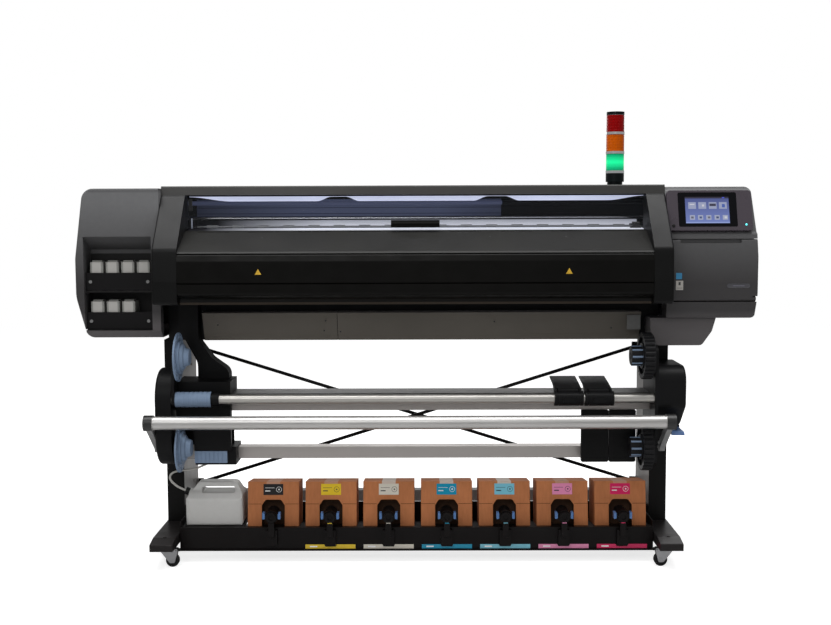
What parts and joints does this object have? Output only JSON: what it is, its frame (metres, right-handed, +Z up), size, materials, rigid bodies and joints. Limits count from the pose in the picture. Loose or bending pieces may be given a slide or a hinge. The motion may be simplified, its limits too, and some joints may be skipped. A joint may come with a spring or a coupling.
{
  "type": "wide-format roll printer with cutter",
  "caption": "Floor-standing wide-format roll printer and cutter with a roll stand, take-up hubs, tension bar, ink shelf, touch panel and signal beacon.",
  "frame": {"origin": "on the floor under the centre of the machine's bounding box", "axes": "+X to the right seen from the front, the front faces -Y, +Z up"},
  "size_m": [2.56, 0.82, 1.715],
  "materials": {
    "black_paint": "satin powder coat",
    "stand_steel": "light grey and black powder coat",
    "shelf_black": "satin",
    "marker_film": "printed colour film, one colour per slot",
    "chassis_steel": "plain",
    "platen_alloy": "anodised",
    "roller_rubber": "gritted",
    "pinch_plastic": "satin",
    "carriage_plastic": "satin",
    "belt_rubber": "toothed",
    "pulley_alloy": "turned",
    "cutter_plastic": "satin",
    "module_grey": "fine texture",
    "tank_plastic": "grey tanks behind black cover plates",
    "bezel_black": "gloss",
    "screen_glass": "glossy glass over a lit display",
    "button_black": "gloss",
    "cover_grey": "satin",
    "cheek_black": "satin",
    "panel_grey": "satin",
    "module_black": "matt black paint",
    "window_clear": "clear",
    "beacon_metal": "chrome rings on a black base",
    "lens_colour": "green, amber and red lenses",
    "housing_black": "satin",
    "handle_blue": "slate blue",
    "beam_alloy": "anodised",
    "hub_blue": "slate blue",
    "hub_black": "satin with blue ribs",
    "tube_steel": "brushed tube, black end caps, grey arms",
    "bottle_plastic": "translucent milky plastic",
    "hose_white": "limp white tube",
    "fork_grey": "zinc grey",
    "wheel_black": "matt",
    "pedal_black": "satin",
    "carton": "kraft cardboard"
  },
  "bodies": {
    "machine": {"stand_feet": "black_paint", "stand_frame": "stand_steel", "ink_shelf": "shelf_black", "slot_markers": "marker_film", "chassis": "chassis_steel", "left_shell": "module_grey", "right_shell": "module_grey", "top_cover": "cover_grey", "side_cheeks": "cheek_black", "lower_panel": "panel_grey", "output_table": "cover_grey", "curing_module": "module_black", "platen": "platen_alloy", "carriage_belt": "belt_rubber", "ink_tanks": "tank_plastic", "screen_bezel": "bezel_black", "touch_screen": "screen_glass", "beacon_body": "beacon_metal", "beacon_lenses": "lens_colour", "side_housing": "housing_black", "motor_housing": "housing_black", "roll_beams": "beam_alloy", "roll_guards": "housing_black"},
    "fork_fl": {"caster_fork_fl": "fork_grey"},
    "wheel_fl": {"caster_wheel_fl": "wheel_black"},
    "fork_fr": {"caster_fork_fr": "fork_grey"},
    "wheel_fr": {"caster_wheel_fr": "wheel_black"},
    "fork_rl": {"caster_fork_rl": "fork_grey"},
    "wheel_rl": {"caster_wheel_rl": "wheel_black"},
    "fork_rr": {"caster_fork_rr": "fork_grey"},
    "wheel_rr": {"caster_wheel_rr": "wheel_black"},
    "pedal_l": {"brake_pedal_l": "pedal_black"},
    "pedal_r": {"brake_pedal_r": "pedal_black"},
    "window": {"front_window": "window_clear"},
    "carriage": {"carriage": "carriage_plastic"},
    "pulley_r": {"drive_pulley": "pulley_alloy"},
    "pulley_l": {"idler_pulley": "pulley_alloy"},
    "drive_roller": {"drive_roller": "roller_rubber"},
    "pinch_rollers": {"pinch_rollers": "pinch_plastic"},
    "cutter": {"cutter": "cutter_plastic"},
    "button": {"power_button": "button_black"},
    "door": {"service_door": "module_grey"},
    "clamps": {"edge_clamps": "housing_black"},
    "upper_slider": {"upper_hub_slider": "handle_blue"},
    "lower_slider": {"lower_hub_slider": "housing_black"},
    "hub_upper_left": {"hub_upper_left": "hub_blue"},
    "hub_lower_left": {"hub_lower_left": "hub_blue"},
    "hub_upper_right": {"hub_upper_right": "hub_black"},
    "hub_lower_right": {"hub_lower_right": "hub_black"},
    "lever": {"release_lever": "handle_blue"},
    "tension_bar": {"tension_bar": "tube_steel"},
    "box_1": {"ink_box_1": "carton"},
    "box_2": {"ink_box_2": "carton"},
    "box_3": {"ink_box_3": "carton"},
    "box_4": {"ink_box_4": "carton"},
    "box_5": {"ink_box_5": "carton"},
    "box_6": {"ink_box_6": "carton"},
    "box_7": {"ink_box_7": "carton"},
    "bottle": {"waste_bottle": "bottle_plastic", "waste_hose": "hose_white"}
  },
  "joints": [
    {"name": "swivel_fl", "type": "hinge", "parent": "machine", "child": "fork_fl", "pos_m": [-0.942, -0.345, 0.073], "axis": [0, 0, 1], "continuous": true},
    {"name": "roll_fl", "type": "hinge", "parent": "fork_fl", "child": "wheel_fl", "pos_m": [-0.913, -0.345, 0.025], "axis": [0, 1, 0], "continuous": true},
    {"name": "swivel_fr", "type": "hinge", "parent": "machine", "child": "fork_fr", "pos_m": [0.942, -0.345, 0.073], "axis": [0, 0, 1], "continuous": true},
    {"name": "roll_fr", "type": "hinge", "parent": "fork_fr", "child": "wheel_fr", "pos_m": [0.913, -0.345, 0.025], "axis": [0, 1, 0], "continuous": true},
    {"name": "swivel_rl", "type": "hinge", "parent": "machine", "child": "fork_rl", "pos_m": [-0.942, 0.345, 0.073], "axis": [0, 0, 1], "continuous": true},
    {"name": "roll_rl", "type": "hinge", "parent": "fork_rl", "child": "wheel_rl", "pos_m": [-0.913, 0.345, 0.025], "axis": [0, 1, 0], "continuous": true},
    {"name": "swivel_rr", "type": "hinge", "parent": "machine", "child": "fork_rr", "pos_m": [0.942, 0.345, 0.073], "axis": [0, 0, 1], "continuous": true},
    {"name": "roll_rr", "type": "hinge", "parent": "fork_rr", "child": "wheel_rr", "pos_m": [0.913, 0.345, 0.025], "axis": [0, 1, 0], "continuous": true},
    {"name": "pedal_l", "type": "hinge", "parent": "fork_fl", "child": "pedal_l", "pos_m": [-0.898, -0.345, 0.064], "axis": [0, 1, 0], "range_deg": [0, 12]},
    {"name": "pedal_r", "type": "hinge", "parent": "fork_fr", "child": "pedal_r", "pos_m": [0.898, -0.345, 0.064], "axis": [0, -1, 0], "range_deg": [0, 12]},
    {"name": "window_hinge", "type": "hinge", "parent": "machine", "child": "window", "pos_m": [0, -0.198, 1.376], "axis": [-1, 0, 0], "range_deg": [0, 80]},
    {"name": "carriage_slide", "type": "slide", "parent": "machine", "child": "carriage", "axis": [-1, 0, 0], "range_m": [0, 2.05]},
    {"name": "drive_pulley_spin", "type": "hinge", "parent": "machine", "child": "pulley_r", "pos_m": [1.2, 0.07, 1.33], "axis": [0, -1, 0], "continuous": true},
    {"name": "idler_pulley_spin", "type": "hinge", "parent": "machine", "child": "pulley_l", "pos_m": [-1.2, 0.07, 1.33], "axis": [0, -1, 0], "continuous": true},
    {"name": "drive_roller_spin", "type": "hinge", "parent": "machine", "child": "drive_roller", "pos_m": [0, -0.025, 1.245], "axis": [1, 0, 0], "continuous": true},
    {"name": "pinch_roller_spin", "type": "hinge", "parent": "machine", "child": "pinch_rollers", "pos_m": [0, -0.025, 1.2674], "axis": [1, 0, 0], "continuous": true},
    {"name": "cutter_slide", "type": "slide", "parent": "machine", "child": "cutter", "axis": [-1, 0, 0], "range_m": [0, 1.668]},
    {"name": "button_push", "type": "slide", "parent": "machine", "child": "button", "axis": [0, 0.9553, -0.2957], "range_m": [0, 0.0015], "stiffness_N_per_m": 300, "springref_m": -0.001},
    {"name": "door_hinge", "type": "hinge", "parent": "machine", "child": "door", "pos_m": [1.11, -0.2525, 0.9935], "axis": [1, 0, 0], "range_deg": [0, 85]},
    {"name": "clamp_slide", "type": "slide", "parent": "machine", "child": "clamps", "axis": [-1, 0, 0], "range_m": [0, 0.9]},
    {"name": "upper_hub_slide", "type": "slide", "parent": "machine", "child": "upper_slider", "axis": [1, 0, 0], "range_m": [0, 1]},
    {"name": "lower_hub_slide", "type": "slide", "parent": "machine", "child": "lower_slider", "axis": [1, 0, 0], "range_m": [0, 1]},
    {"name": "hub_upper_left_spin", "type": "hinge", "parent": "upper_slider", "child": "hub_upper_left", "pos_m": [-0.87, -0.3, 0.785], "axis": [1, 0, 0], "continuous": true},
    {"name": "hub_lower_left_spin", "type": "hinge", "parent": "lower_slider", "child": "hub_lower_left", "pos_m": [-0.87, -0.3, 0.441], "axis": [1, 0, 0], "continuous": true},
    {"name": "hub_upper_right_spin", "type": "hinge", "parent": "machine", "child": "hub_upper_right", "pos_m": [0.825, -0.3, 0.785], "axis": [1, 0, 0], "continuous": true},
    {"name": "hub_lower_right_spin", "type": "hinge", "parent": "machine", "child": "hub_lower_right", "pos_m": [0.825, -0.3, 0.441], "axis": [1, 0, 0], "continuous": true},
    {"name": "lever_hinge", "type": "hinge", "parent": "machine", "child": "lever", "pos_m": [0.969, -0.235, 0.503], "axis": [1, 0, 0], "range_deg": [0, 45]},
    {"name": "tension_swing", "type": "hinge", "parent": "machine", "child": "tension_bar", "pos_m": [0, -0.23, 0.43], "axis": [1, 0, 0], "range_deg": [0, 35]},
    {"name": "box_lift_1", "type": "slide", "parent": "machine", "child": "box_1", "axis": [0, 0.1392, 0.9903], "range_m": [0, 0.07]},
    {"name": "box_lift_2", "type": "slide", "parent": "machine", "child": "box_2", "axis": [0, 0.1392, 0.9903], "range_m": [0, 0.07]},
    {"name": "box_lift_3", "type": "slide", "parent": "machine", "child": "box_3", "axis": [0, 0.1392, 0.9903], "range_m": [0, 0.07]},
    {"name": "box_lift_4", "type": "slide", "parent": "machine", "child": "box_4", "axis": [0, 0.1392, 0.9903], "range_m": [0, 0.07]},
    {"name": "box_lift_5", "type": "slide", "parent": "machine", "child": "box_5", "axis": [0, 0.1392, 0.9903], "range_m": [0, 0.07]},
    {"name": "box_lift_6", "type": "slide", "parent": "machine", "child": "box_6", "axis": [0, 0.1392, 0.9903], "range_m": [0, 0.07]},
    {"name": "box_lift_7", "type": "slide", "parent": "machine", "child": "box_7", "axis": [0, 0.1392, 0.9903], "range_m": [0, 0.07]},
    {"name": "bottle_pull", "type": "slide", "parent": "machine", "child": "bottle", "axis": [0, -1, 0], "range_m": [0, 0.12]}
  ],
  "couplings": [
    {"joint": "drive_pulley_spin", "follows": "carriage_slide", "rad_per_m": 85.106},
    {"joint": "idler_pulley_spin", "follows": "carriage_slide", "rad_per_m": 85.106}
  ]
}
